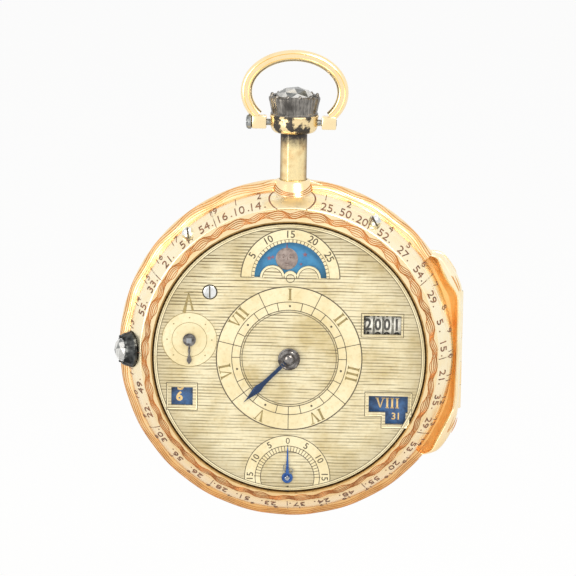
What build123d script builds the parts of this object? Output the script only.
from build123d import *
from math import asin, atan2, cos, degrees, hypot, radians, sin
import os

# A gold pocket watch whose dial is a calendar.
# Lengths are in millimetres, angles in degrees.
# It is drawn lying on its back: x to three o'clock, y to twelve, z out of the dial.
# The last function stands it up, so that the dial faces -Y and twelve o'clock is +Z.
# The origin is the middle of the flat on the back cover.

# Clearances
running = 0.03
seating = 0.02
working_gap = 0.1
overrun = 1.0

# Case heights, from the back
cover_depth = 8.0
band_height = 4.0
bezel_height = 7.6

# Case band
band_radius = 30.0
band_edge_inset = 0.95
band_wall = 2.8
ledge_reach = 2.8
ledge_height = 1.0
register_wall = 0.5
register_height = 0.6

# Number ring
bezel_seat_inset = 0.05
bezel_width = 4.55
bezel_lip_wall = 0.35
bezel_foot_wall = 2.2
bezel_foot_height = 1.9
bezel_wall = 1.0
bezel_bevel = 0.4
bezel_turn = 35.0

# Bezel screws
bezel_screw_angles = (131.0, 58.6)
bezel_screw_inset = 1.0
bezel_screw_head = 1.05
bezel_screw_dome = 0.45
bezel_screw_shank = 0.45
bezel_screw_seat = 1.6
bezel_screw_length = 3.0
bezel_screw_slot = 0.3

# Back cover
cover_flat_radius = 15.0
cover_swell = 1.6
cover_swell_share = 0.8
cover_wall = 0.8
cover_tongue_width = 4.0
cover_tongue_wall = 0.5
cover_tongue_rise = 1.2

# Long hinge at three o'clock
hinge_inset = 0.0
knuckle_radius = 1.15
knuckle_count = 5
knuckle_row = 21.4
hinge_pin_radius = 0.5
housing_half_height = 17.2
housing_shoulder_inset = 4.8
housing_bulge_inset = 0.35
housing_bulge_y = 14.3
housing_bulge_direction = 45.0
housing_height = 3.6
housing_dish = 0.4
housing_rim = 0.8
housing_groove = 0.2
housing_groove_shares = (0.55, 0.8)
ear_height = 1.4

# Lock spring behind the push-piece
lock_inset = 1.5
lock_wall = 0.4
lock_clearance = 1.0
lock_height = 3.4
lock_first_angle = 148.0
lock_last_angle = 184.0
lock_screw_angle = 152.0
lock_screw_radius = 0.5
lock_screw_head = 0.9
lock_screw_head_height = 0.5
lock_screw_length = 2.0

# Push-piece at nine o'clock
push_tilt = 22.0
push_well_depth = 1.2
push_rest_gap = 0.55
push_base_radius = 3.2
push_rim_radius = 2.5
push_height = 2.1
push_shoulder_shares = (0.97, 0.45)
push_stem_radius = 0.9
push_stem_length = 2.0
push_stone_radius = 2.25
push_stone_height = 1.3
push_stone_sink = 0.4
push_boss_wall = 0.9
push_cut_reach = 4.8

# Pendant
neck_rise = 0.9
neck_height = 4.3
neck_top_radius = 3.0
neck_waist_radius = 3.1
neck_skirt_radius = 4.3
neck_skirt_drop = 3.3
neck_waist_drop = 0.7
neck_flare_height = 0.6
shoulder_reach = 8.5
shoulder_dip = 1.5
shoulder_width = 2.0
stem_sides = 8
stem_flats = 4.67
stem_depth = 4.8
stem_reach = 8.9
stem_flange_flats = 5.1
stem_flange_height = 0.9
stem_bore_radius = 1.7
stem_bore_depth = 8.0
collar_height = 3.2
collar_radius = 4.2
collar_round = 1.1
collet_height = 3.6
collet_foot_radius = 4.3
collet_rim_radius = 4.55
collet_rim_height = 0.6
collet_cup_depth = 0.9
stone_radius = 3.6
stone_height = 2.2
stone_facets = 12
stone_row_shares = ((1.0, 0.25), (0.82, 0.62), (0.48, 0.9), (0.12, 1.0))
pendant_rise = 0.7

# Pendant spring and its bracket
spring_radius = 1.35
spring_wire = 0.3
spring_turns = 7
bracket_gap = 4.3
bracket_wall = 1.0
bracket_width = 4.0

# Bow
bow_pin_height = 1.8
bow_pin_radius = 0.57
bow_screw_head = 1.3
bow_screw_head_height = 1.0
bow_screw_round = 0.33
knuckle_block_x = 6.15
knuckle_block_width = 2.6
knuckle_block_height = 2.5
knuckle_block_depth = 2.4
bow_rise = 5.4
bow_half_width = 8.5
bow_half_height = 6.45
bow_section_width = 2.0
bow_section_depth = 1.8
bow_groove = 0.22
bow_flute_share = 0.35
bow_flat_share = 0.55

# Dial plate
dial_sink = 0.2
dial_thickness = 0.7
dial_gap = 0.2
dial_screw_x = -14.1
dial_screw_y = 11.6
dial_screw_head = 1.1
dial_screw_rise = 0.25
dial_screw_slot = 0.28
dial_screw_length = 2.1
dial_key_width = 0.6
dial_key_length = 0.9
dial_foot_radius = 0.7
dial_foot_inset = 2.4
dial_foot_angles = (155.0, 62.0, 290.0)

# Windows in the dial
window_bevel = 0.45
window_bevel_angle = 45.0
moon_x = 0.0
moon_y = 14.4
moon_window_radius = 6.33
moon_hump_radius = 2.15
moon_hump_x = 3.17
moon_boss_radius = 1.2
date_window_x = -18.8
date_window_y = -7.2
date_window_width = 3.8
date_window_height = 3.25
year_window_x = 16.3
year_window_y = 6.25
year_window_width = 6.6
year_window_height = 3.4
month_window_x = 17.6
month_window_y = -7.9
month_window_width = 6.9
month_window_height = 2.95
month_step_x = 18.9
month_step_y = -10.0
month_step_width = 3.6
month_step_height = 3.0

# Weekday hand
hand_length = 11.5
hand_hub_radius = 1.9
hand_stem_width = 0.6
hand_head_width = 1.4
hand_head_shares = (0.52, 0.72)
hand_taper_share = 0.8
hand_thickness = 0.3
hand_rise = 0.7
hand_angle = -135.0
cap_radius = 0.9
cap_height = 0.7
cap_round_share = 0.8

# Setting pointer of the small dial
setting_x = -17.6
setting_y = 3.0
setting_hub_radius = 1.1
setting_length = 4.1
setting_blade_shares = (0.55, 0.75)
setting_neck = 0.45
setting_lozenge = 1.0
setting_square = 0.9
setting_star_radius = 2.2

# Hand of the lower dial
equation_y = -21.5
equation_length = 5.65
equation_hub_radius = 1.0
equation_stem_width = 0.7
equation_square = 0.6
equation_waist_shares = (0.25, 0.6)
equation_scroll_shares = (1.5, 0.8, 1.9, 1.35)

# Discs under the dial
disc_gap = 0.15
disc_thickness = 0.3
month_drop = 0.6
moon_disc_radius = 6.75
moon_radius = 1.97
moon_circle = 3.35
moon_relief = 0.08
date_reach = 9.4
date_disc_margin = 1.3
month_reach = 7.6
month_disc_margin = 3.6

# Year drums
drum_radius = 3.7
drum_gap = 0.1
drum_count = 4
drum_star_share = 0.2
drum_star_radius_share = 0.92
drum_notch_share = 0.85
drum_positions = 10
spindle_radius = 0.5
drum_frame_wall = 0.6
drum_frame_depth = 3.0

# Calendar wheels
plate_thickness = 1.0
plate_gap = 2.0
tooth_tip_share = 0.75
tooth_root_share = 1.2
tooth_base_share = 0.64
wheel_arms = 4
wheel_arm_share = 0.16
crossing_share = 0.42
crossing_hub_share = 1.6
star_notch_share = 0.72
calendar_module = 0.24
moon_module = 0.22
tension_washer_radius = 3.0
tension_washer_thickness = 0.3
tension_sleeve_radius = 0.75
day_leaves = 8
weekday_teeth = 56
day_teeth = 32
date_idler_teeth = 32
date_teeth = 62
moon_idler_teeth = 59
moon_teeth = 64
day_direction = 170.0
barrel_direction = 250.0
first_level = 0.3
level_step = 0.9
day_level = 0
slow_level = 1
date_idler_level = 2
weekday_level = 3
disc_level = 4
wheel_thickness = 0.4
arbor_radius = 0.5
pivot_radius = 0.25
pivot_depth = 0.5
stud_radius = 0.45
stud_collar_radius = 0.72
hub_radius = 1.0
post_radius = 0.9
month_star_radius = 3.0
month_notch_share = 0.8
month_positions = 12
setting_positions = 8
cam_radius = 3.4
cam_offset = 0.6
cam_lobe_share = 0.8
jumper_width = 0.4
jumper_length = 5.0
jumper_foot_radius = 0.6
setting_jumper_angle = 200.0
month_jumper_angle = -20.0

# Equation rack
rack_teeth = 60
equation_leaves = 10
rack_pivot_direction = 125.0
rack_half_angle = 30.0
rack_rim_share = 0.38
rack_tail = 3.5
rack_tail_width = 1.2

# Movement
back_plate_back = 5.0
back_plate_thickness = 0.8
back_plate_inset = 3.7
pillar_inset = 1.2
pillar_radius = 1.1
pillar_waist = 0.75
pillar_knot_share = 1.3
pillar_height_shares = (0.15, 0.25, 0.5, 0.75, 0.85)
pillar_angles = (45.0, 135.0, 225.0, 315.0)
plate_screw_head = 0.9
plate_screw_head_height = 0.5
plate_screw_slot = 0.22
plate_screw_hole = 2.0
case_screw_angles = (20.0, 200.0)
case_screw_inset = 2.4
case_screw_head = 0.78
case_screw_head_height = 0.5
case_screw_shank = 0.4

# Going train
barrel_module = 0.26
barrel_teeth = 60
barrel_drum_radius = 7.0
barrel_drum_height = 3.6
barrel_level = 1.4
second_leaves = 10
second_teeth = 60
second_module = 0.22
second_level = 0.4
second_direction = -60.0
third_leaves = 8
third_teeth = 48
third_module = 0.2
third_level = 2.2
third_direction = 10.0
fourth_leaves = 8
fourth_teeth = 48
fourth_module = 0.18
fourth_level = 3.8
fourth_direction = 50.0
escape_leaves = 6
escape_teeth = 15
escape_radius = 3.0
escape_level = 1.2
escape_direction = 100.0
escape_notch_share = 0.78
train_arbor_radius = 0.4
train_pivot_length = 0.6
train_hub_share = 1.2
winding_square = 1.2
winding_rise = 1.2
ratchet_radius = 3.4
ratchet_teeth = 20
ratchet_tooth_shares = (0.86, 0.1)
ratchet_thickness = 0.5
click_nose_angle = 200.0
click_angle = 250.0
click_length = 3.0
click_width = 0.9

# Balance
balance_radius = 7.0
balance_rim = 0.6
balance_arms = 3
balance_thickness = 0.5
balance_gap = 0.8
balance_reach = 3.6
balance_direction = 110.0
spring_coils = 4
hairspring_pitch = 0.45
hairspring_width = 0.12
cock_thickness = 0.7
cock_table_radius = 2.6
cock_foot_reach = 9.6
cock_foot_radius = 2.0
cock_direction = 45.0

# Radii that follow from the sizes
band_edge_radius = band_radius - band_edge_inset
band_inner_radius = band_radius - band_wall
ledge_radius = band_inner_radius - ledge_reach
bezel_foot_radius = band_edge_radius - bezel_seat_inset
bezel_foot_inner = bezel_foot_radius - bezel_foot_wall
bezel_lip_radius = bezel_foot_radius - bezel_width
bezel_bore_radius = bezel_lip_radius - bezel_lip_wall
bezel_screw_circle = bezel_foot_radius - bezel_screw_inset
cover_rim_radius = band_edge_radius - bezel_seat_inset
lock_inner_radius = band_inner_radius - lock_inset
dial_radius = bezel_bore_radius - dial_gap
dial_foot_circle = dial_radius - dial_foot_inset
plate_radius = band_inner_radius - plate_gap
case_screw_circle = band_inner_radius - case_screw_inset
back_plate_radius = plate_radius - back_plate_inset
pillar_circle = back_plate_radius - pillar_inset

# Places that follow from the sizes
hinge_x = band_radius - hinge_inset
housing_shoulder_x = band_radius - housing_shoulder_inset
housing_bulge_x = band_radius - housing_bulge_inset
neck_top = band_radius + neck_rise
neck_foot = neck_top - neck_height
neck_skirt = neck_top - neck_skirt_drop
neck_waist = neck_top - neck_waist_drop
stem_inner_end = band_radius - stem_depth
collar_bottom = band_radius + stem_reach
bracket_y = stem_inner_end - bracket_gap
bow_pin_y = collar_bottom + bow_pin_height
bow_centre_y = bow_pin_y + bow_rise

# Levels that follow from the sizes
band_back = cover_depth
band_front = band_back + band_height
band_middle = band_back + band_height / 2
pendant_level = band_middle + pendant_rise
bezel_top = band_front + bezel_height
dial_top = bezel_top - dial_sink
dial_under = dial_top - dial_thickness
plate_front = band_front + plate_thickness
back_plate_front = back_plate_back + back_plate_thickness
disc_top = dial_under - disc_gap
month_disc_top = disc_top - month_drop
balance_level = back_plate_back - balance_gap - balance_thickness
cock_level = balance_level - working_gap * 2 - cock_thickness


def calendar_level(step):
    return plate_front + first_level + level_step * step


def train_level(height):
    return back_plate_front + height


def polar(radius, angle, centre=(0, 0)):
    x = centre[0] + radius * cos(radians(angle))
    y = centre[1] + radius * sin(radians(angle))
    return (x, y)


def spread(module, teeth_a, teeth_b):
    return module * (teeth_a + teeth_b) / 2


def crossing(centre_a, reach_a, centre_b, reach_b):
    # The point at two given distances from two centres, to the left of the line between them
    across = centre_b[0] - centre_a[0]
    up = centre_b[1] - centre_a[1]
    span = hypot(across, up)
    along = (reach_a ** 2 - reach_b ** 2 + span ** 2) / (2 * span)
    aside = (reach_a ** 2 - along ** 2) ** 0.5
    x = centre_a[0] + (along * across - aside * up) / span
    y = centre_a[1] + (along * up + aside * across) / span
    return (x, y)


# Places of the arbors, worked out from the teeth that mesh
weekday_place = (0, 0)
moon_place = (moon_x, moon_y)
date_place = (date_window_x + date_reach, date_window_y)
month_place = (month_window_x - month_reach, month_window_y)
setting_place = (setting_x, setting_y)
equation_place = (0, equation_y)
day_place = polar(spread(calendar_module, day_leaves, weekday_teeth), day_direction)
date_idler_place = crossing(
    date_place,
    spread(calendar_module, day_leaves, date_teeth),
    day_place,
    spread(calendar_module, day_leaves, date_idler_teeth),
)
moon_idler_place = crossing(
    day_place,
    spread(calendar_module, day_leaves, moon_idler_teeth),
    moon_place,
    spread(moon_module, day_leaves, moon_teeth),
)
rack_place = polar(
    spread(calendar_module, rack_teeth, equation_leaves), rack_pivot_direction, equation_place
)
barrel_place = polar(spread(calendar_module, day_leaves, day_teeth), barrel_direction, day_place)
second_place = polar(
    spread(barrel_module, barrel_teeth, second_leaves), second_direction, barrel_place
)
third_place = polar(
    spread(second_module, second_teeth, third_leaves), third_direction, second_place
)
fourth_place = polar(
    spread(third_module, third_teeth, fourth_leaves), fourth_direction, third_place
)
escape_place = polar(
    spread(fourth_module, fourth_teeth, escape_leaves), escape_direction, fourth_place
)
balance_place = polar(balance_reach, balance_direction, escape_place)
cock_foot_place = polar(cock_foot_reach, cock_direction, balance_place)


# Simple forms

def disc(radius, low, high, centre=(0, 0)):
    solid = Cylinder(radius, high - low, align=(Align.CENTER, Align.CENTER, Align.MIN))
    return Pos(centre[0], centre[1], low) * solid


def ring(outer, inner, low, high, centre=(0, 0)):
    return disc(outer, low, high, centre) - disc(inner, low - overrun, high + overrun, centre)


def block(width, depth, low, high, centre=(0, 0), turn=0):
    solid = Box(width, depth, high - low, align=(Align.CENTER, Align.CENTER, Align.MIN))
    return Pos(centre[0], centre[1], low) * Rot(0, 0, turn) * solid


def turned(*corners):
    outline = Polyline(*[(radius, 0, height) for radius, height in corners], close=True)
    return revolve(make_face(outline), axis=Axis.Z)


def turned_edges(edges):
    return revolve(make_face(edges), axis=Axis.Z)


def plate_of(corners, low, high):
    face = make_face(Polyline(*[(x, y, low) for x, y in corners], close=True))
    return extrude(face, amount=high - low, dir=(0, 0, 1))


def group(pieces):
    return Compound([solid for piece in pieces for solid in piece.solids()])


def along_pendant(solid):
    return Pos(0, 0, pendant_level) * Rot(-90, 0, 0) * solid


def octagon(flats, low, high):
    face = RegularPolygon(flats / 2, stem_sides, major_radius=False)
    turned_face = Rot(0, 0, 180 / stem_sides) * face
    return Pos(0, 0, low) * extrude(turned_face, amount=high - low)


# Toothed wheels

def toothed_face(teeth, module, phase):
    root = module * (teeth / 2 - tooth_root_share)
    tip = module * (teeth / 2 + tooth_tip_share)
    pitch = 360 / teeth
    corners = []
    for tooth in range(teeth):
        middle = phase + tooth * pitch
        corners.append(polar(root, middle - tooth_base_share * pitch / 2))
        corners.append(polar(tip, middle))
        corners.append(polar(root, middle + tooth_base_share * pitch / 2))
    return make_face(Polyline(*corners, close=True))


def toothed(teeth, module, phase, low, high, centre):
    solid = extrude(toothed_face(teeth, module, phase), amount=high - low)
    return Pos(centre[0], centre[1], low) * solid


def meshed_phase(phase, teeth, other_teeth, line):
    # The phase at which the other wheel's space takes this wheel's tooth
    offset = (line - phase) * teeth / 360
    return line + 180 + (offset + 0.5) * 360 / other_teeth


def direction(start, end):
    return degrees(atan2(end[1] - start[1], end[0] - start[0]))


def crossings(wheel, module, teeth, low, centre, hub_share=crossing_hub_share):
    # Cuts the openings between the arms of a wheel
    high = low + wheel_thickness
    rim = module * teeth * crossing_share
    opening = ring(rim, hub_radius * hub_share, low - overrun, high + overrun, centre)
    for arm in range(wheel_arms):
        bar = block(rim * 2 + overrun, rim * wheel_arm_share, low - overrun * 2,
                    high + overrun * 2, centre, arm * 180 / wheel_arms)
        opening -= bar
    return wheel - opening


def star_face(points, outer, notch_share=star_notch_share):
    step = 360 / points
    corners = []
    for point in range(points):
        corners.append(polar(outer, point * step))
        corners.append(polar(outer * notch_share, (point + 0.5) * step))
    return make_face(Polyline(*corners, close=True))


# Number ring: its outer curve turns through bezel_turn from the lip to the foot

def bezel_curve():
    across = bezel_foot_radius - bezel_lip_radius
    chord = hypot(across, bezel_height)
    radius = chord / (2 * sin(radians(bezel_turn / 2)))
    tilt = atan2(across, bezel_height)
    reach = radius * cos(radians(bezel_turn / 2))
    middle_radius = (bezel_foot_radius + bezel_lip_radius) / 2
    middle_height = (band_front + bezel_top) / 2
    centre = (middle_radius - reach * cos(tilt), middle_height - reach * sin(tilt))
    return centre, radius, degrees(tilt)


def bezel_point(tilt, inset=0.0):
    centre, radius, middle = bezel_curve()
    return polar(radius - inset, tilt, centre)


def bezel_profile():
    centre, radius, middle = bezel_curve()
    low_tilt = degrees(asin((band_front + bezel_foot_height - centre[1]) / (radius - bezel_wall)))
    high_tilt = middle + bezel_turn / 3
    bore_low = (bezel_bore_radius, 0, dial_under)
    bore_high = (bezel_bore_radius, 0, bezel_top - bezel_bevel)
    lip = (bezel_lip_radius, 0, bezel_top)
    foot = (bezel_foot_radius, 0, band_front)
    foot_inner = (bezel_foot_inner, 0, band_front)
    step = (bezel_foot_inner, 0, band_front + bezel_foot_height)
    bulge = lift(bezel_point(middle))
    wall_low = lift(bezel_point(low_tilt, bezel_wall))
    wall_middle = lift(bezel_point((low_tilt + high_tilt) / 2, bezel_wall))
    wall_high = lift(bezel_point(high_tilt, bezel_wall))
    return [
        Line(bore_low, bore_high),
        Line(bore_high, lip),
        ThreePointArc(lip, bulge, foot),
        Line(foot, foot_inner),
        Line(foot_inner, step),
        Line(step, wall_low),
        ThreePointArc(wall_low, wall_middle, wall_high),
        Line(wall_high, bore_low),
    ]


def lift(point):
    return (point[0], 0, point[1])


def at_push(solid, sink):
    # Sets a solid on the tilted axis of the push-piece, sunk below the ring's outer curve
    radius, height = bezel_point(push_tilt, sink)
    return Pos(-radius, 0, height) * Rot(0, push_tilt - 90, 0) * solid


def push_well():
    well = disc(push_base_radius + working_gap, 0, push_cut_reach)
    bore = disc(push_stem_radius + running, -push_cut_reach, push_cut_reach)
    return at_push(well, push_well_depth) + at_push(bore, 0)


def push_boss():
    depth = push_well_depth + push_boss_wall
    boss = disc(push_base_radius + push_boss_wall, 0, depth * 2)
    centre, radius, middle = bezel_curve()
    envelope = turned_edges([
        Line((bezel_foot_inner, 0, band_front), (bezel_foot_radius, 0, band_front)),
        ThreePointArc((bezel_foot_radius, 0, band_front), lift(bezel_point(middle)),
                      (bezel_lip_radius, 0, bezel_top)),
        Line((bezel_lip_radius, 0, bezel_top), (bezel_foot_inner, 0, band_front)),
    ])
    return at_push(boss, depth) & envelope


def screw_place(angle):
    return polar(bezel_screw_circle, angle)


def skirt_profile(gap):
    # The flared moulding at the pendant's root, drawn along its own axis
    return turned(
        (0, neck_foot),
        (neck_top_radius + gap, neck_foot),
        (neck_top_radius + gap, neck_skirt - neck_flare_height),
        (neck_skirt_radius + gap, neck_skirt - gap),
        (neck_waist_radius + gap, neck_waist),
        (neck_top_radius + gap, neck_waist),
        (neck_top_radius + gap, neck_top),
        (0, neck_top),
    )


def bezel():
    solid = turned_edges(bezel_profile())
    solid += push_boss()
    solid -= push_well()
    seat = band_front + bezel_screw_seat
    for angle in bezel_screw_angles:
        place = screw_place(angle)
        solid -= disc(bezel_screw_shank + seating, band_front - overrun, bezel_top, place)
        solid -= disc(bezel_screw_head + seating, seat, bezel_top, place)
    solid -= along_pendant(skirt_profile(seating))
    return solid


def bezel_screws():
    seat = band_front + bezel_screw_seat
    screws = []
    for angle in bezel_screw_angles:
        place = screw_place(angle)
        head = disc(bezel_screw_head, seat, seat + bezel_screw_head, place)
        head = fillet(head.edges().group_by(Axis.Z)[-1], bezel_screw_dome)
        slot_low = seat + bezel_screw_head - bezel_screw_dome
        head -= block(bezel_screw_head * 3, bezel_screw_slot, slot_low, slot_low + overrun,
                      place, angle)
        screws.append(head + disc(bezel_screw_shank, seat - bezel_screw_length, seat, place))
    return group(screws)


# Case band with the hinge housing

def band_ring():
    edge_front = (band_edge_radius, 0, band_front)
    edge_back = (band_edge_radius, 0, band_back)
    inner_back = (band_inner_radius, 0, band_back)
    under_ledge = (band_inner_radius, 0, band_front - ledge_height)
    ledge_back = (ledge_radius, 0, band_front - ledge_height)
    ledge_front = (ledge_radius, 0, band_front)
    register_outer = bezel_foot_inner - seating
    register_inner = register_outer - register_wall
    lip_high = band_front + register_height
    return turned_edges([
        ThreePointArc(edge_front, (band_radius, 0, band_middle), edge_back),
        Line(edge_back, inner_back),
        Line(inner_back, under_ledge),
        Line(under_ledge, ledge_back),
        Line(ledge_back, ledge_front),
        Line(ledge_front, (register_inner, 0, band_front)),
        Line((register_inner, 0, band_front), (register_inner, 0, lip_high)),
        Line((register_inner, 0, lip_high), (register_outer, 0, lip_high)),
        Line((register_outer, 0, lip_high), (register_outer, 0, band_front)),
        Line((register_outer, 0, band_front), edge_front),
    ])


def housing_face(inset=0.0):
    side = hinge_x + knuckle_radius - inset
    straight = knuckle_row / 2 - inset / 2
    shoulder = (housing_shoulder_x, housing_half_height - inset)
    lean = radians(housing_bulge_direction)
    bulge = (housing_bulge_x - inset * cos(lean), housing_bulge_y - inset * sin(lean))
    inside = band_inner_radius - ledge_height
    edges = [
        Line((side, -straight), (side, straight)),
        ThreePointArc((side, straight), bulge, shoulder),
        Line(shoulder, (inside / 2, shoulder[1])),
        Line((inside / 2, shoulder[1]), (inside / 2, -shoulder[1])),
        Line((inside / 2, -shoulder[1]), (shoulder[0], -shoulder[1])),
        ThreePointArc((shoulder[0], -shoulder[1]), (bulge[0], -bulge[1]), (side, -straight)),
    ]
    return make_face(edges)


def hinge_axis_cylinder(radius, start, end):
    solid = Cylinder(radius, end - start, align=(Align.CENTER, Align.CENTER, Align.MIN))
    return Pos(hinge_x, start, band_back) * Rot(-90, 0, 0) * solid


def knuckle_span(index):
    pitch = knuckle_row / knuckle_count
    start = -knuckle_row / 2 + index * pitch + working_gap / 2
    return start, start + pitch - working_gap


def knuckles(indices, web_low, web_high):
    solid = Part()
    for index in indices:
        start, end = knuckle_span(index)
        solid += hinge_axis_cylinder(knuckle_radius, start, end)
        middle = (hinge_x - knuckle_radius / 2, (start + end) / 2)
        solid += block(knuckle_radius, end - start, web_low, web_high, middle)
    return solid


def hinge_pocket():
    reach = knuckle_row / 2
    return hinge_axis_cylinder(knuckle_radius + working_gap, -reach, reach)


def housing():
    top = band_back + housing_height
    solid = Pos(0, 0, band_back) * extrude(housing_face(), amount=housing_height)
    dish = Pos(0, 0, top - housing_dish) * extrude(housing_face(housing_rim), amount=overrun)
    solid -= dish
    solid -= disc(band_inner_radius, band_back - overrun, top + overrun)
    for share in housing_groove_shares:
        groove = Cylinder(housing_groove, knuckle_row + overrun * 2)
        height = band_back + housing_height * share
        solid -= Pos(hinge_x + knuckle_radius, 0, height) * Rot(90, 0, 0) * groove
    return solid


def shoulders():
    # Fins that rise from the band to the pendant on each side
    foot = band_radius - shoulder_dip
    return plate_of([(-shoulder_reach, foot), (-neck_top_radius, neck_top),
                     (neck_top_radius, neck_top), (shoulder_reach, foot)],
                    pendant_level - shoulder_width / 2, pendant_level + shoulder_width / 2)


def case_band():
    solid = band_ring() + housing() + shoulders()
    solid -= hinge_pocket()
    fixed = range(0, knuckle_count, 2)
    solid += knuckles(fixed, band_back, band_back + knuckle_radius + working_gap * 2)
    solid -= hinge_axis_cylinder(hinge_pin_radius + seating, -knuckle_row, knuckle_row)
    solid -= push_well()
    solid -= along_pendant(disc(neck_top_radius + seating, ledge_radius - overrun, neck_top))
    solid -= along_pendant(skirt_profile(seating))
    flange = stem_flange_flats + working_gap * 2
    slot_length = band_inner_radius - bracket_y
    solid -= block(flange, slot_length, pendant_level - flange / 2, pendant_level + flange / 2,
                   (0, bracket_y + slot_length / 2))
    for angle in bezel_screw_angles:
        solid -= disc(bezel_screw_shank + seating, band_front - bezel_screw_length,
                      band_front + overrun, screw_place(angle))
    for angle in case_screw_angles:
        solid -= disc(case_screw_shank + seating, band_front - ledge_height - overrun,
                      band_front + overrun, polar(case_screw_circle, angle))
    solid -= lock_sector(lock_inner_radius - working_gap, band_inner_radius,
                         band_back, band_front + register_height + overrun, lock_clearance)
    solid -= lock_screw_solid(seating)
    return solid


def cover_hinge_pin():
    reach = knuckle_row / 2
    return hinge_axis_cylinder(hinge_pin_radius, -reach, reach)


# Lock spring

def lock_sector(inner, outer, low, high, widen=0.0):
    extra = degrees(widen / inner)
    first = lock_first_angle - extra
    last = lock_last_angle + extra
    reach = outer * 2
    wedge = plate_of(
        [(0, 0), polar(reach, first), polar(reach, (first + last) / 2), polar(reach, last)],
        low, high,
    )
    return ring(outer, inner, low, high) & wedge


def lock_screw_solid(gap=0.0):
    shank = Cylinder(lock_screw_radius + gap, lock_screw_length,
                     align=(Align.CENTER, Align.CENTER, Align.MIN))
    height = band_back + lock_height / 2
    seat = lock_inner_radius - seating
    return Rot(0, 0, lock_screw_angle) * Pos(seat, 0, height) * Rot(0, 90, 0) * shank


def lock_spring():
    low = band_back + working_gap
    solid = lock_sector(lock_inner_radius, lock_inner_radius + lock_wall, low, low + lock_height)
    return solid - lock_screw_solid(seating)


def lock_spring_screw():
    head = Cylinder(lock_screw_head, lock_screw_head_height,
                    align=(Align.CENTER, Align.CENTER, Align.MAX))
    height = band_back + lock_height / 2
    place = Rot(0, 0, lock_screw_angle) * Pos(lock_inner_radius - seating, 0, height)
    return lock_screw_solid() + place * Rot(0, 90, 0) * head


# Back cover

def cover_shell():
    flat = (cover_flat_radius, 0, 0)
    rim = (cover_rim_radius, 0, band_back)
    middle_radius = (cover_flat_radius + cover_rim_radius) / 2
    swell = (middle_radius + cover_swell, 0, band_back / 2 - cover_swell)
    inner_flat = (cover_flat_radius, 0, cover_wall)
    inner_rim = (cover_rim_radius - cover_wall * 2, 0, band_back)
    swell_wall = cover_wall * cover_swell_share
    inner_swell = (swell[0] - swell_wall, 0, swell[2] + swell_wall)
    return turned_edges([
        Line((0, 0, 0), flat),
        ThreePointArc(flat, swell, rim),
        Line(rim, inner_rim),
        ThreePointArc(inner_rim, inner_swell, inner_flat),
        Line(inner_flat, (0, 0, cover_wall)),
        Line((0, 0, cover_wall), (0, 0, 0)),
    ])


def back_cover():
    ear = Pos(0, 0, band_back - ear_height) * extrude(housing_face(), amount=ear_height)
    ear -= disc(cover_rim_radius - cover_wall, 0, band_back + overrun)
    solid = cover_shell() + ear
    beyond = block(band_radius, knuckle_row * 2, -overrun, band_back + overrun,
                   (hinge_x + band_radius / 2, 0))
    solid -= beyond
    solid -= hinge_pocket()
    solid += knuckles(range(1, knuckle_count, 2), band_back - ear_height, band_back)
    solid -= hinge_axis_cylinder(hinge_pin_radius + running, -knuckle_row, knuckle_row)
    tongue_place = (-lock_inner_radius - lock_wall - working_gap - cover_tongue_wall / 2, 0)
    solid += block(cover_tongue_wall, cover_tongue_width, band_back - cover_tongue_rise * 2,
                   band_back + cover_tongue_rise, tongue_place) - lowered_shell()
    return solid


def lowered_shell():
    # What lies outside the cover, so that the tongue ends in its wall
    return Pos(0, 0, -cover_wall) * turned_edges([
        Line((0, 0, -band_back), (0, 0, 0)),
        Line((0, 0, 0), (cover_flat_radius, 0, 0)),
        ThreePointArc((cover_flat_radius, 0, 0),
                      ((cover_flat_radius + cover_rim_radius) / 2 + cover_swell, 0,
                       band_back / 2 - cover_swell),
                      (cover_rim_radius, 0, band_back)),
        Line((cover_rim_radius, 0, band_back), (band_radius * 2, 0, band_back)),
        Line((band_radius * 2, 0, band_back), (band_radius * 2, 0, -band_back)),
        Line((band_radius * 2, 0, -band_back), (0, 0, -band_back)),
    ])


# Push-piece

def cut_stone(radius, height, facets):
    # A rose-cut stone: a girdle, a steep row of facets and a low crown
    girdle = height * stone_row_shares[0][1]
    solid = extrude(RegularPolygon(radius, facets), amount=girdle)
    for lower, upper in zip(stone_row_shares, stone_row_shares[1:]):
        foot = Pos(0, 0, height * lower[1]) * RegularPolygon(radius * lower[0], facets)
        head = Pos(0, 0, height * upper[1]) * RegularPolygon(radius * upper[0], facets)
        solid += loft([foot, head])
    return solid


def push_collet():
    rise = push_rest_gap - push_well_depth
    shoulder = (push_base_radius * push_shoulder_shares[0],
                push_height * push_shoulder_shares[1])
    body = turned((0, 0), (push_base_radius, 0), shoulder,
                  (push_rim_radius, push_height), (0, push_height))
    body += disc(push_stem_radius, -push_stem_length - push_rest_gap, 0)
    body -= disc(push_stone_radius + seating, push_height - push_stone_sink, push_height * 2)
    return at_push(body, -rise)


def push_stone():
    rise = push_rest_gap - push_well_depth
    stone = cut_stone(push_stone_radius, push_stone_height + push_stone_sink, stone_facets)
    return at_push(Pos(0, 0, push_height - push_stone_sink) * stone, -rise)


# Pendant

def pendant_neck():
    solid = along_pendant(skirt_profile(0))
    solid -= disc(band_inner_radius, 0, bezel_top)
    solid -= disc(cover_rim_radius + working_gap, 0, band_back + working_gap)
    hole = octagon(stem_flats + running * 2, ledge_radius, neck_top + overrun)
    return solid - along_pendant(hole)


def pendant_stem():
    solid = octagon(stem_flats, stem_inner_end, collar_bottom)
    solid += octagon(stem_flange_flats, stem_inner_end, stem_inner_end + stem_flange_height)
    solid -= disc(stem_bore_radius, stem_inner_end - overrun, stem_inner_end + stem_bore_depth)
    return along_pendant(solid)


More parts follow.
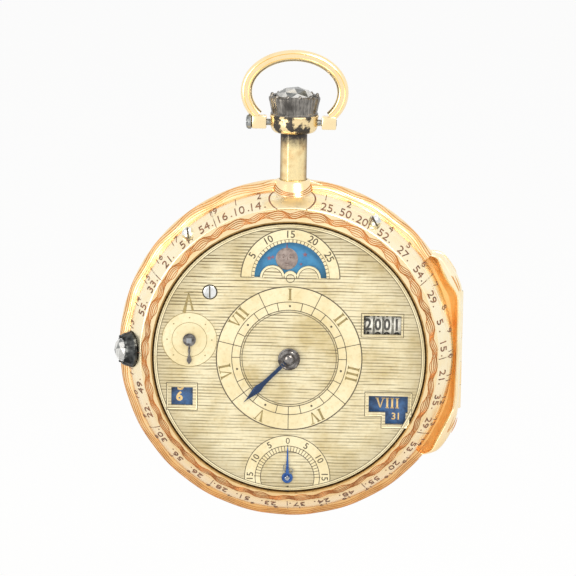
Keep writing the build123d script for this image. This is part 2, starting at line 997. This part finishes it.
def bow_pin_bore(radius):
    reach = knuckle_block_x + knuckle_block_width
    pin = Cylinder(radius, reach * 3)
    return Pos(0, bow_pin_y, pendant_level) * Rot(0, 90, 0) * pin


def pendant_collar():
    body = disc(collar_radius, collar_bottom, collar_bottom + collar_height)
    body = fillet(body.edges().group_by(Axis.Z)[0], collar_round)
    return along_pendant(body) - bow_pin_bore(bow_pin_radius + seating)


def pendant_collet():
    low = collar_bottom + collar_height
    top = low + collet_height
    body = turned((0, low), (collet_foot_radius, low), (collet_rim_radius, low + collet_height / 2),
                  (collet_rim_radius, top - collet_rim_height), (stone_radius + seating, top),
                  (stone_radius + seating, top - collet_cup_depth), (0, top - collet_cup_depth))
    return along_pendant(body)


def pendant_stone():
    low = collar_bottom + collar_height + collet_height - collet_cup_depth
    return along_pendant(Pos(0, 0, low) * cut_stone(stone_radius, stone_height, stone_facets))


def bow_pin():
    right = knuckle_block_x + knuckle_block_width / 2
    left = -right - running
    length = right - left
    shaft = Cylinder(bow_pin_radius, length, align=(Align.CENTER, Align.CENTER, Align.MIN))
    head = Cylinder(bow_screw_head, bow_screw_head_height,
                    align=(Align.CENTER, Align.CENTER, Align.MAX))
    head = fillet(head.edges().group_by(Axis.Z)[0], bow_screw_round)
    solid = Rot(0, 90, 0) * shaft + Rot(0, 90, 0) * head
    return Pos(left, bow_pin_y, pendant_level) * solid


def bow():
    top_of_block = bow_pin_y + knuckle_block_height / 2
    start = degrees(asin((top_of_block - working_gap - bow_centre_y) / bow_half_height))
    path = EllipticalCenterArc((0, bow_centre_y), bow_half_width, bow_half_height,
                               start_angle=start, arc_size=180 - start * 2)
    path = Pos(0, 0, pendant_level) * path
    half_width = bow_section_width / 2
    half_depth = bow_section_depth / 2
    flute = half_depth * bow_flute_share
    flat = half_width * bow_flat_share
    outline = [
        (half_width, flute), (flat, half_depth), (-flat, half_depth),
        (-half_width, flute), (-half_width + bow_groove, 0), (-half_width, -flute),
        (-flat, -half_depth), (flat, -half_depth),
        (half_width, -flute), (half_width - bow_groove, 0),
    ]
    section = make_face(Polyline(*outline, close=True))
    frame = Plane(origin=path @ 0, z_dir=path % 0, x_dir=(1, 0, 0))
    solid = sweep(frame * section, path=path)
    for side in (-1, 1):
        knuckle = Box(knuckle_block_width, knuckle_block_height, knuckle_block_depth)
        solid += Pos(side * knuckle_block_x, bow_pin_y, pendant_level) * knuckle
        recess = Cylinder(bow_screw_head + working_gap, bow_screw_head_height * 2)
        recess_x = knuckle_block_x + knuckle_block_width / 2 + bow_screw_head_height
        solid -= Pos(side * recess_x, bow_pin_y, pendant_level) * Rot(0, 90, 0) * recess
    return solid - bow_pin_bore(bow_pin_radius + running)


def pendant_spring():
    low = bracket_y + spring_wire / 2
    high = stem_inner_end + stem_bore_depth - spring_wire / 2 - running
    helix = Helix((high - low) / spring_turns, high - low, spring_radius)
    section = Plane(origin=helix @ 0, z_dir=helix % 0) * Circle(spring_wire / 2)
    coil = sweep(section, path=helix)
    return along_pendant(Pos(0, 0, low) * coil)


def spring_bracket():
    return block(bracket_width, bracket_wall, pendant_level - bracket_width / 2, band_front,
                 (0, bracket_y - bracket_wall / 2))


# Dial plate

def window_cut(face):
    # A through cut with a bevel that widens towards the front
    low = dial_under - overrun
    hole = Pos(0, 0, low) * extrude(face, amount=dial_thickness + overrun * 2)
    bevel = Pos(0, 0, dial_top - window_bevel) * extrude(face, amount=window_bevel,
                                                         taper=-window_bevel_angle)
    rim = Pos(0, 0, dial_top) * extrude(offset(face, window_bevel, kind=Kind.INTERSECTION),
                                        amount=overrun)
    return hole + bevel + rim


def rectangle_at(width, height, x, y):
    return Pos(x, y) * Rectangle(width, height)


def moon_window_face():
    face = Pos(*moon_place) * (Circle(moon_window_radius) - Pos(0, -moon_window_radius) * Rectangle(
        moon_window_radius * 3, moon_window_radius * 2))
    for side in (-1, 1):
        face -= Pos(moon_x + side * moon_hump_x, moon_y) * Circle(moon_hump_radius)
    return face - Pos(*moon_place) * Circle(moon_boss_radius)


def month_window_face():
    main = rectangle_at(month_window_width, month_window_height, month_window_x, month_window_y)
    return main + rectangle_at(month_step_width, month_step_height, month_step_x, month_step_y)


def dial_plate():
    solid = disc(dial_radius, dial_under, dial_top)
    face = moon_window_face()
    solid -= Pos(0, 0, dial_under - overrun) * extrude(face, amount=dial_thickness + overrun * 2)
    solid -= window_cut(rectangle_at(date_window_width, date_window_height,
                                     date_window_x, date_window_y))
    solid -= window_cut(month_window_face())
    year = rectangle_at(year_window_width, year_window_height, year_window_x, year_window_y)
    solid -= Pos(0, 0, dial_under - overrun) * extrude(year, amount=dial_thickness + overrun * 2)
    low = dial_under - overrun
    high = dial_top + overrun
    for place in (weekday_place, setting_place, equation_place):
        solid -= disc(arbor_radius + running, low, high, place)
    solid -= disc(dial_screw_shank() + seating, low, high, (dial_screw_x, dial_screw_y))
    notch_y = -dial_radius + dial_key_length / 2 - overrun / 2
    solid -= block(dial_key_width, dial_key_length + overrun, low, high, (0, notch_y))
    for angle in dial_foot_angles:
        solid += disc(dial_foot_radius, plate_front, dial_under, polar(dial_foot_circle, angle))
    return solid


def dial_key():
    inner = -dial_radius + dial_key_length
    middle = (0, inner - dial_key_length / 2 - seating)
    tab = block(dial_key_width - seating * 2, dial_key_length, dial_under, dial_top, middle)
    leg_y = (middle[1] - dial_key_length / 2 + dial_key_width / 2)
    leg = block(dial_key_width - seating * 2, dial_key_width, plate_front, dial_under, (0, leg_y))
    return tab + leg


def dial_screw_shank():
    return dial_screw_head / 2


def dial_screw():
    place = (dial_screw_x, dial_screw_y)
    head = disc(dial_screw_head, dial_top, dial_top + dial_screw_rise, place)
    head -= block(dial_screw_slot, dial_screw_head * 3, dial_top + dial_screw_rise / 2,
                  dial_top + overrun, place)
    return head + disc(dial_screw_shank(), dial_top - dial_screw_length, dial_top, place)


# Hands

def weekday_hand():
    low = dial_top + hand_rise
    high = low + hand_thickness
    half = hand_stem_width / 2
    neck = hand_length * hand_head_shares[0]
    broad = hand_length * hand_head_shares[1]
    thin = half * hand_taper_share
    blade = plate_of([(0, -half), (neck, -thin), (broad, -hand_head_width / 2),
                      (hand_length, 0), (broad, hand_head_width / 2), (neck, thin),
                      (0, half)], low, high)
    solid = disc(hand_hub_radius, low, high) + blade
    solid -= disc(arbor_radius + seating, low - overrun, high + overrun)
    return Rot(0, 0, hand_angle) * solid


def weekday_cap():
    low = dial_top + hand_rise + hand_thickness
    dome = disc(cap_radius, low, low + cap_height)
    dome = fillet(dome.edges().group_by(Axis.Z)[-1], cap_height * cap_round_share)
    return dome - disc(arbor_radius + seating, low - overrun, low + cap_height / 2)


def arbor(place, low, high, radius=arbor_radius):
    # A shaft whose lower pivot turns in the pillar plate
    shaft = disc(radius, plate_front + working_gap, high, place)
    return shaft + disc(pivot_radius, low, plate_front + working_gap, place)


def weekday_wheel():
    step = calendar_level(weekday_level)
    line = direction(day_place, weekday_place)
    phase = meshed_phase(0, day_leaves, weekday_teeth, line)
    top = dial_top + hand_rise + hand_thickness + cap_height / 2 - working_gap / 2
    wheel = toothed(weekday_teeth, calendar_module, phase, step, step + wheel_thickness,
                    weekday_place)
    wheel = crossings(wheel, calendar_module, weekday_teeth, step, weekday_place)
    solid = wheel + disc(hub_radius, step, step + wheel_thickness * 2, weekday_place)
    return solid + arbor(weekday_place, plate_front - pivot_depth, top)


def setting_pointer():
    low = dial_top + hand_rise / 2
    high = low + hand_thickness
    half = setting_neck / 2
    wide = setting_lozenge / 2
    neck = -setting_length * setting_blade_shares[0]
    broad = -setting_length * setting_blade_shares[1]
    blade = plate_of([(-half, 0), (-half, neck), (-wide, broad), (0, -setting_length),
                      (wide, broad), (half, neck), (half, 0)], low, high)
    solid = disc(setting_hub_radius, low, high) + blade
    hole = setting_square + seating * 2
    solid -= block(hole, hole, low - overrun, high + overrun)
    return Pos(setting_x, setting_y, 0) * solid


def setting_arbor():
    low = dial_top + hand_rise / 2 - working_gap
    star_low = calendar_level(disc_level)
    star = Pos(setting_x, setting_y, star_low) * extrude(
        star_face(setting_positions, setting_star_radius), amount=wheel_thickness)
    square_high = low + hand_thickness * 3
    square = block(setting_square, setting_square, low, square_high, setting_place)
    return star + square + arbor(setting_place, plate_front - pivot_depth, low)


def equation_hand():
    low = dial_top + hand_rise / 2
    high = low + hand_thickness
    half = equation_stem_width / 2
    waist = half * equation_waist_shares[0]
    waist_y = equation_length * equation_waist_shares[1]
    blade = plate_of([(-half, 0), (-waist, waist_y), (0, equation_length), (waist, waist_y),
                      (half, 0)], low, high)
    solid = disc(equation_hub_radius, low, high) + blade
    outer_share, inner_share, aside_share, along_share = equation_scroll_shares
    for side in (-1, 1):
        place = (side * half * aside_share, equation_hub_radius * along_share)
        solid += ring(half * outer_share, half * inner_share, low, high, place)
    hole = equation_square + seating * 2
    solid -= block(hole, hole, low - overrun, high + overrun)
    return Pos(0, equation_y, 0) * solid


def equation_arbor():
    low = dial_top + hand_rise / 2 - working_gap
    square = block(equation_square, equation_square, low, low + hand_thickness * 2,
                   equation_place)
    step = calendar_level(slow_level)
    line = direction(rack_place, equation_place)
    phase = meshed_phase(line, rack_teeth, equation_leaves, line)
    pinion = toothed(equation_leaves, calendar_module, phase, step - working_gap,
                     step + wheel_thickness + working_gap, equation_place)
    return square + pinion + arbor(equation_place, plate_front - pivot_depth, low)


def equation_rack():
    step = calendar_level(slow_level)
    line = direction(rack_place, equation_place)
    wheel = toothed(rack_teeth, calendar_module, line, step, step + wheel_thickness, rack_place)
    reach = calendar_module * rack_teeth
    wedge = plate_of([rack_place,
                      polar(reach, line - rack_half_angle, rack_place),
                      polar(reach, line + rack_half_angle, rack_place)],
                     step - overrun, step + overrun)
    opening = ring(reach * rack_rim_share, hub_radius * crossing_hub_share, step - overrun,
                   step + overrun, rack_place)
    arm = block(reach, rack_tail_width, step - overrun, step + overrun, rack_place, line)
    sector = (wheel & wedge) - (opening - arm)
    tail_middle = polar(rack_tail / 2, line + 180, rack_place)
    tail = block(rack_tail, rack_tail_width, step, step + wheel_thickness, tail_middle, line)
    hub = disc(hub_radius, step - wheel_thickness, step + wheel_thickness * 2, rack_place)
    return sector + tail + hub - disc(stud_radius + running, 0, dial_under, rack_place)


# Discs

def stud_hub(place, low, high):
    return ring(hub_radius, stud_radius + running, low, high, place)


def moon_disc():
    low = disc_top - disc_thickness
    return ring(moon_disc_radius, stud_radius + seating, low, disc_top, moon_place)


def moons():
    low = disc_top
    pair = []
    for side in (-1, 1):
        place = (moon_x, moon_y + side * moon_circle)
        pair.append(disc(moon_radius, low, low + moon_relief, place))
    return group(pair)


def moon_wheel():
    step = calendar_level(disc_level)
    line = direction(moon_idler_place, moon_place)
    phase = meshed_phase(0, day_leaves, moon_teeth, line)
    wheel = toothed(moon_teeth, moon_module, phase, step, step + wheel_thickness, moon_place)
    wheel = crossings(wheel, moon_module, moon_teeth, step, moon_place)
    wheel -= disc(stud_radius + running, 0, dial_top, moon_place)
    return wheel + stud_hub(moon_place, step, disc_top - disc_thickness)


def date_disc():
    low = disc_top - disc_thickness
    return ring(date_reach + date_disc_margin, hub_radius + seating, low, disc_top, date_place)


def date_wheel():
    step = calendar_level(disc_level)
    line = direction(date_idler_place, date_place)
    phase = meshed_phase(0, day_leaves, date_teeth, line)
    wheel = toothed(date_teeth, calendar_module, phase, step, step + wheel_thickness, date_place)
    wheel = crossings(wheel, calendar_module, date_teeth, step, date_place)
    wheel -= disc(stud_radius + running, 0, dial_top, date_place)
    return wheel + stud_hub(date_place, step, disc_top)


def month_disc():
    low = month_disc_top - disc_thickness
    return ring(month_reach + month_disc_margin, hub_radius + seating, low, month_disc_top,
                month_place)


def month_star():
    step = calendar_level(weekday_level)
    star = Pos(month_place[0], month_place[1], step) * extrude(
        star_face(month_positions, month_star_radius, month_notch_share), amount=wheel_thickness)
    star -= disc(stud_radius + running, 0, dial_top, month_place)
    return star + stud_hub(month_place, calendar_level(slow_level), month_disc_top)


def equation_cam():
    step = calendar_level(slow_level)
    body = disc(cam_radius, step, step + wheel_thickness,
                (month_place[0] + cam_offset, month_place[1]))
    body += disc(cam_radius * cam_lobe_share, step, step + wheel_thickness,
                 (month_place[0] - cam_offset * 2, month_place[1]))
    return body - disc(hub_radius + seating, 0, dial_top, month_place)


# Year drums

def drum_axis_height():
    return disc_top - drum_radius


def across_drums(solid, x):
    return Pos(x, year_window_y, drum_axis_height()) * Rot(0, 90, 0) * solid


def year_drum(index):
    pitch = year_window_width / drum_count
    width = pitch - drum_gap
    left = year_window_x + (index - drum_count / 2) * pitch + drum_gap / 2
    star_width = width * drum_star_share
    body = disc(drum_radius, star_width, width)
    star = extrude(
        star_face(drum_positions, drum_radius * drum_star_radius_share, drum_notch_share),
        amount=star_width)
    return across_drums(body + star - disc(spindle_radius + running, -overrun, width + overrun),
                        left)


def year_spindle():
    reach = year_window_width / 2 + drum_gap * 2 + drum_frame_wall
    return across_drums(disc(spindle_radius, -reach, reach), year_window_x)


def year_frame():
    cheeks = []
    for side in (-1, 1):
        x = year_window_x + side * (year_window_width / 2 + drum_gap + drum_frame_wall / 2)
        cheek = block(drum_frame_wall, drum_frame_depth, plate_front,
                      drum_axis_height() + spindle_radius * 2, (x, year_window_y))
        cheeks.append(cheek - across_drums(disc(spindle_radius + seating, -drum_radius * 3,
                                                drum_radius * 3), year_window_x))
    return group(cheeks)


# Calendar train

def day_wheel():
    line = direction(barrel_place, day_place)
    low = calendar_level(day_level)
    phase = meshed_phase(0, day_leaves, day_teeth, line)
    wheel = toothed(day_teeth, calendar_module, phase, low, low + wheel_thickness, day_place)
    top = calendar_level(weekday_level) + wheel_thickness + working_gap
    pinion = toothed(day_leaves, calendar_module, 0, low + wheel_thickness, top, day_place)
    solid = wheel + pinion
    solid -= disc(stud_radius + running, low - overrun, top + overrun, day_place)
    return solid


def date_idler():
    line = direction(day_place, date_idler_place)
    low = calendar_level(date_idler_level)
    phase = meshed_phase(0, day_leaves, date_idler_teeth, line)
    solid = toothed(date_idler_teeth, calendar_module, phase, low, low + wheel_thickness,
                    date_idler_place)
    top = calendar_level(disc_level) + wheel_thickness + working_gap
    solid += toothed(day_leaves, calendar_module, 0, low + wheel_thickness, top, date_idler_place)
    return solid - disc(stud_radius + running, low - overrun, top + overrun, date_idler_place)


def moon_idler():
    line = direction(day_place, moon_idler_place)
    low = calendar_level(slow_level)
    phase = meshed_phase(0, day_leaves, moon_idler_teeth, line)
    wheel = toothed(moon_idler_teeth, calendar_module, phase, low, low + wheel_thickness,
                    moon_idler_place)
    wheel = crossings(wheel, calendar_module, moon_idler_teeth, low, moon_idler_place)
    top = calendar_level(disc_level) + wheel_thickness + working_gap
    wheel += toothed(day_leaves, moon_module, 0, low + wheel_thickness, top, moon_idler_place)
    return wheel - disc(stud_radius + running, low - overrun, top + overrun, moon_idler_place)


def calendar_pinion():
    # The washer under it holds it to the barrel by friction, so that the calendar can be set
    low = calendar_level(day_level) - working_gap
    top = calendar_level(day_level) + wheel_thickness + working_gap
    washer_low = barrel_top() + running
    washer_top = washer_low + tension_washer_thickness
    solid = toothed(day_leaves, calendar_module, 0, low, top, barrel_place)
    solid += disc(tension_sleeve_radius, washer_low, low, barrel_place)
    solid += disc(tension_washer_radius, washer_low, washer_top, barrel_place)
    return solid - disc(train_arbor_radius + running, 0, dial_under, barrel_place)


def calendar_studs():
    # Each stud stands on the pillar plate and ends in a shoulder above what turns on it
    tops = (
        (day_place, calendar_level(weekday_level) + wheel_thickness + working_gap * 2),
        (date_idler_place, calendar_level(disc_level) + wheel_thickness + working_gap * 2),
        (moon_idler_place, calendar_level(disc_level) + wheel_thickness + working_gap * 2),
        (moon_place, disc_top),
        (date_place, disc_top),
        (month_place, month_disc_top),
        (rack_place, calendar_level(slow_level) + wheel_thickness * 3),
    )
    floors = (
        calendar_level(day_level),
        calendar_level(date_idler_level),
        calendar_level(slow_level),
        calendar_level(disc_level),
        calendar_level(disc_level),
        calendar_level(slow_level),
        calendar_level(slow_level) - wheel_thickness,
    )
    studs = []
    for (place, top), floor in zip(tops, floors):
        stud = disc(stud_radius, plate_front, top, place)
        collar = disc(stud_collar_radius, floor - first_level, floor - working_gap, place)
        studs.append(stud + collar)
    post = disc(post_radius, plate_front, dial_under, (dial_screw_x, dial_screw_y))
    post -= disc(dial_screw_shank() + seating, dial_top - dial_screw_length - dial_thickness,
                 dial_top, (dial_screw_x, dial_screw_y))
    studs.append(post)
    return group(studs)


def jumper(star_place, star_reach, angle, low):
    # A leaf spring beside a star, with a nose that rests just off the points
    nose = polar(star_reach + working_gap + jumper_width / 2, angle, star_place)
    tail = polar(jumper_length, angle + 90, nose)
    middle = ((nose[0] + tail[0]) / 2, (nose[1] + tail[1]) / 2)
    leaf = block(jumper_length, jumper_width, low, low + wheel_thickness, middle, angle + 90)
    foot = disc(jumper_foot_radius, plate_front, low + wheel_thickness, tail)
    return leaf + foot


def jumper_springs():
    return group([
        jumper(month_place, month_star_radius, month_jumper_angle, calendar_level(weekday_level)),
        jumper(setting_place, setting_star_radius, setting_jumper_angle, calendar_level(disc_level)),
    ])


# Movement plates

def pillar_plate():
    solid = disc(plate_radius, band_front, plate_front)
    for place in (weekday_place, setting_place, equation_place):
        solid -= disc(pivot_radius + running, plate_front - pivot_depth - running,
                      plate_front + overrun, place)
    drum_half = drum_radius + working_gap * 3
    solid -= block(year_window_width + working_gap, drum_half * 2, band_front - overrun,
                   plate_front + overrun, (year_window_x, year_window_y))
    solid -= disc(tension_sleeve_radius + running, band_front - overrun, plate_front + overrun,
                  barrel_place)
    flange = stem_flange_flats + working_gap * 2
    solid -= block(flange, plate_radius, band_front - overrun,
                   pendant_level + flange / 2 + working_gap, (0, bracket_y + plate_radius / 2))
    for place in (second_place, third_place, fourth_place, escape_place, balance_place):
        solid -= disc(pivot_radius + running, band_front - overrun, band_front + pivot_depth,
                      place)
    for angle in pillar_angles:
        solid -= disc(pillar_waist + seating, band_front - overrun, plate_front + overrun,
                      polar(pillar_circle, angle))
    for angle in case_screw_angles:
        solid -= disc(case_screw_shank + seating, band_front - overrun, plate_front + overrun,
                      polar(case_screw_circle, angle))
    solid -= lock_sector(lock_inner_radius - lock_clearance, band_inner_radius,
                         band_front - overrun, plate_front + overrun, lock_clearance)
    return solid


def back_plate():
    solid = disc(back_plate_radius, back_plate_back, back_plate_front)
    holes = (second_place, third_place, fourth_place, escape_place)
    for place in holes:
        solid -= disc(pivot_radius + running, back_plate_back - overrun,
                      back_plate_front + overrun, place)
    solid -= disc(train_arbor_radius * 2 + running, back_plate_back - overrun,
                  back_plate_front + overrun, barrel_place)
    solid -= disc(train_arbor_radius + running * 2, back_plate_back - overrun,
                  back_plate_front + overrun, balance_place)
    for angle in pillar_angles:
        solid -= disc(plate_screw_head / 2 + seating, back_plate_back - overrun,
                      back_plate_front + overrun, polar(pillar_circle, angle))
    return solid


def pillars():
    posts = []
    height = band_front - back_plate_front
    levels = [back_plate_front + height * share for share in pillar_height_shares]
    for angle in pillar_angles:
        place = polar(pillar_circle, angle)
        post = turned(
            (0, back_plate_front), (pillar_radius, back_plate_front),
            (pillar_radius, levels[0]), (pillar_waist, levels[1]),
            (pillar_waist * pillar_knot_share, levels[2]),
            (pillar_waist, levels[3]), (pillar_radius, levels[4]),
            (pillar_radius, band_front), (pillar_waist, band_front),
            (pillar_waist, plate_front), (0, plate_front),
        )
        bore = disc(plate_screw_head / 2 + seating, back_plate_back,
                    back_plate_front + plate_screw_hole)
        posts.append(Pos(place[0], place[1], 0) * (post - bore))
    return group(posts)


def plate_screws():
    screws = []
    for angle in pillar_angles:
        place = polar(pillar_circle, angle)
        head = disc(plate_screw_head, back_plate_back - plate_screw_head_height,
                    back_plate_back, place)
        head -= block(plate_screw_head * 3, plate_screw_slot,
                      back_plate_back - overrun, back_plate_back - plate_screw_head_height / 2,
                      place, angle)
        shank = disc(plate_screw_head / 2, back_plate_back,
                     back_plate_front + pillar_radius, place)
        screws.append(head + shank)
    return group(screws)


def case_screws():
    screws = []
    for angle in case_screw_angles:
        place = polar(case_screw_circle, angle)
        head = disc(case_screw_head, plate_front, plate_front + case_screw_head_height, place)
        head -= block(case_screw_head * 3, case_screw_shank / 2,
                      plate_front + case_screw_head_height / 2, plate_front + overrun, place, angle)
        screws.append(head + disc(case_screw_shank, band_front - ledge_height, plate_front, place))
    return group(screws)


# Going train

def train_arbor(place):
    # Runs from plate to plate, with a pivot in each
    shaft = disc(train_arbor_radius, back_plate_front + working_gap, band_front - working_gap,
                 place)
    low_pivot = back_plate_front - train_pivot_length
    return shaft + disc(pivot_radius, low_pivot, band_front + pivot_depth - running, place)


def barrel_top():
    return train_level(barrel_level) + barrel_drum_height + wheel_thickness


def barrel():
    low = train_level(barrel_level)
    top = low + barrel_drum_height
    solid = disc(barrel_drum_radius, low, top, barrel_place)
    solid += toothed(barrel_teeth, barrel_module, 0, top, top + wheel_thickness, barrel_place)
    return solid - disc(train_arbor_radius + running, low - overrun, top + overrun, barrel_place)


def barrel_arbor():
    ratchet_back = back_plate_back - ratchet_thickness - working_gap
    square_low = ratchet_back - winding_rise
    shaft = disc(train_arbor_radius, back_plate_front, plate_front + wheel_thickness * 2,
                 barrel_place)
    journal = disc(train_arbor_radius * 2, back_plate_back - working_gap, back_plate_front,
                   barrel_place)
    square = block(winding_square, winding_square, square_low, back_plate_back - working_gap,
                   barrel_place)
    return shaft + journal + square


def ratchet_wheel():
    high = back_plate_back - working_gap
    low = high - ratchet_thickness
    corners = []
    step = 360 / ratchet_teeth
    root_share, lead_share = ratchet_tooth_shares
    for tooth in range(ratchet_teeth):
        corners.append(polar(ratchet_radius, tooth * step))
        corners.append(polar(ratchet_radius * root_share, (tooth + lead_share) * step))
    solid = plate_of(corners, low, high)
    hole = winding_square + seating * 2
    solid -= block(hole, hole, low - overrun, high + overrun)
    return Pos(barrel_place[0], barrel_place[1], 0) * solid


def click():
    high = back_plate_back
    low = high - ratchet_thickness
    nose = polar(ratchet_radius + working_gap, click_nose_angle, barrel_place)
    tail = polar(click_length, click_angle, nose)
    middle = ((nose[0] + tail[0]) / 2, (nose[1] + tail[1]) / 2)
    lever = block(click_length, click_width, low, high, middle, click_angle)
    lever -= disc(ratchet_radius + working_gap, low - overrun, high + overrun, barrel_place)
    return lever + disc(click_width, low, high, tail)


def train_wheel(place, wheel, leaves, wheel_module, leaf_module, level, pinion_level,
                wheel_phase, pinion_phase):
    low = train_level(level)
    solid = toothed(wheel, wheel_module, wheel_phase, low, low + wheel_thickness, place)
    solid = crossings(solid, wheel_module, wheel, low, place, train_hub_share)
    leaf_low = train_level(pinion_level) - working_gap
    solid += toothed(leaves, leaf_module, pinion_phase, leaf_low,
                     leaf_low + wheel_thickness + working_gap * 2, place)
    return solid + train_arbor(place)


def second_wheel():
    line = direction(barrel_place, second_place)
    return train_wheel(second_place, second_teeth, second_leaves, second_module, barrel_module,
                       second_level, barrel_level + barrel_drum_height, 0,
                       meshed_phase(0, barrel_teeth, second_leaves, line))


def third_wheel():
    line = direction(second_place, third_place)
    return train_wheel(third_place, third_teeth, third_leaves, third_module, second_module,
                       third_level, second_level, 0,
                       meshed_phase(0, second_teeth, third_leaves, line))


def fourth_wheel():
    line = direction(third_place, fourth_place)
    return train_wheel(fourth_place, fourth_teeth, fourth_leaves, fourth_module, third_module,
                       fourth_level, third_level, 0,
                       meshed_phase(0, third_teeth, fourth_leaves, line))


def escape_wheel():
    line = direction(fourth_place, escape_place)
    low = train_level(escape_level)
    solid = Pos(escape_place[0], escape_place[1], low) * extrude(
        star_face(escape_teeth, escape_radius, escape_notch_share), amount=wheel_thickness)
    leaf_low = train_level(fourth_level) - working_gap
    solid += toothed(escape_leaves, fourth_module,
                     meshed_phase(0, fourth_teeth, escape_leaves, line),
                     leaf_low, leaf_low + wheel_thickness + working_gap * 2, escape_place)
    return solid + train_arbor(escape_place)


# Balance

def balance():
    low = balance_level
    rim = ring(balance_radius, balance_radius - balance_rim, low, low + balance_thickness,
               balance_place)
    reach = balance_radius - balance_rim / 2
    for arm in range(balance_arms):
        turn = arm * 360 / balance_arms
        middle = polar(reach / 2, turn, balance_place)
        rim += block(reach, balance_rim, low, low + balance_thickness, middle, turn)
    solid = rim + disc(hub_radius, low, low + balance_thickness, balance_place)
    solid += disc(train_arbor_radius, low - working_gap, band_front - working_gap, balance_place)
    return solid + disc(pivot_radius, cock_level + cock_thickness - pivot_depth,
                        band_front + pivot_depth - running, balance_place)


def hairspring():
    low = balance_level + balance_thickness + working_gap
    coil = Part()
    first = hub_radius + working_gap
    for turn in range(spring_coils):
        radius = first + turn * hairspring_pitch
        coil += ring(radius + hairspring_width, radius, low, low + hairspring_width * 2,
                     balance_place)
        link = polar(radius + hairspring_pitch / 2, 90.0 * turn, balance_place)
        if turn < spring_coils - 1:
            coil += block(hairspring_pitch, hairspring_width, low, low + hairspring_width * 2,
                          link, 90.0 * turn)
    outer = first + (spring_coils - 1) * hairspring_pitch
    stud = polar(outer + hairspring_width, 0.0, balance_place)
    return coil + disc(hairspring_width * 3, low, back_plate_back, stud)


def balance_cock():
    low = cock_level
    high = cock_level + cock_thickness
    solid = disc(cock_table_radius, low, high, balance_place)
    solid += block(cock_foot_reach, cock_table_radius, low, high,
                   ((balance_place[0] + cock_foot_place[0]) / 2,
                    (balance_place[1] + cock_foot_place[1]) / 2), cock_direction)
    solid += disc(cock_foot_radius, low, back_plate_back, cock_foot_place)
    return solid - disc(pivot_radius + running, high - pivot_depth - running,
                        back_plate_back, balance_place)


# The nodes, each standing upright

NODES = {
    "case_band": case_band,
    "bezel": bezel,
    "bezel_screws": bezel_screws,
    "back_cover": back_cover,
    "cover_hinge_pin": cover_hinge_pin,
    "lock_spring": lock_spring,
    "push_collet": push_collet,
    "push_stone": push_stone,
    "pendant_neck": pendant_neck,
    "pendant_stem": pendant_stem,
    "pendant_collar": pendant_collar,
    "pendant_collet": pendant_collet,
    "pendant_stone": pendant_stone,
    "bow_pin": bow_pin,
    "bow": bow,
    "pendant_spring": pendant_spring,
    "spring_bracket": spring_bracket,
    "dial_plate": dial_plate,
    "dial_key": dial_key,
    "dial_screw": dial_screw,
    "weekday_hand": weekday_hand,
    "weekday_cap": weekday_cap,
    "weekday_wheel": weekday_wheel,
    "setting_pointer": setting_pointer,
    "setting_arbor": setting_arbor,
    "equation_hand": equation_hand,
    "equation_arbor": equation_arbor,
    "equation_rack": equation_rack,
    "moon_disc": moon_disc,
    "moons": moons,
    "moon_wheel": moon_wheel,
    "date_disc": date_disc,
    "date_wheel": date_wheel,
    "month_disc": month_disc,
    "month_star_and_cam": lambda: group([month_star(), equation_cam()]),
    "year_drum_thousands": lambda: year_drum(0),
    "year_drum_hundreds": lambda: year_drum(1),
    "year_drum_tens": lambda: year_drum(2),
    "year_drum_units": lambda: year_drum(3),
    "year_drum_frame": lambda: group([year_frame(), year_spindle()]),
    "day_wheel": day_wheel,
    "date_idler": date_idler,
    "moon_idler": moon_idler,
    "calendar_pinion": calendar_pinion,
    "calendar_studs": calendar_studs,
    "jumper_springs": jumper_springs,
    "pillar_plate": pillar_plate,
    "back_plate": back_plate,
    "pillars": pillars,
    "inner_screws": lambda: group([plate_screws(), case_screws(), lock_spring_screw()]),
    "barrel": barrel,
    "barrel_arbor_and_ratchet": lambda: group([barrel_arbor(), ratchet_wheel()]),
    "click": click,
    "second_wheel": second_wheel,
    "third_wheel": third_wheel,
    "fourth_wheel": fourth_wheel,
    "escape_wheel": escape_wheel,
    "balance": balance,
    "hairspring": hairspring,
    "balance_cock": balance_cock,
}


def upright(solid):
    return Rot(90, 0, 0) * solid


os.makedirs("parts", exist_ok=True)
for name, make in NODES.items():
    export_step(upright(make()), f"parts/{name}.step")
print(len(NODES), "nodes")
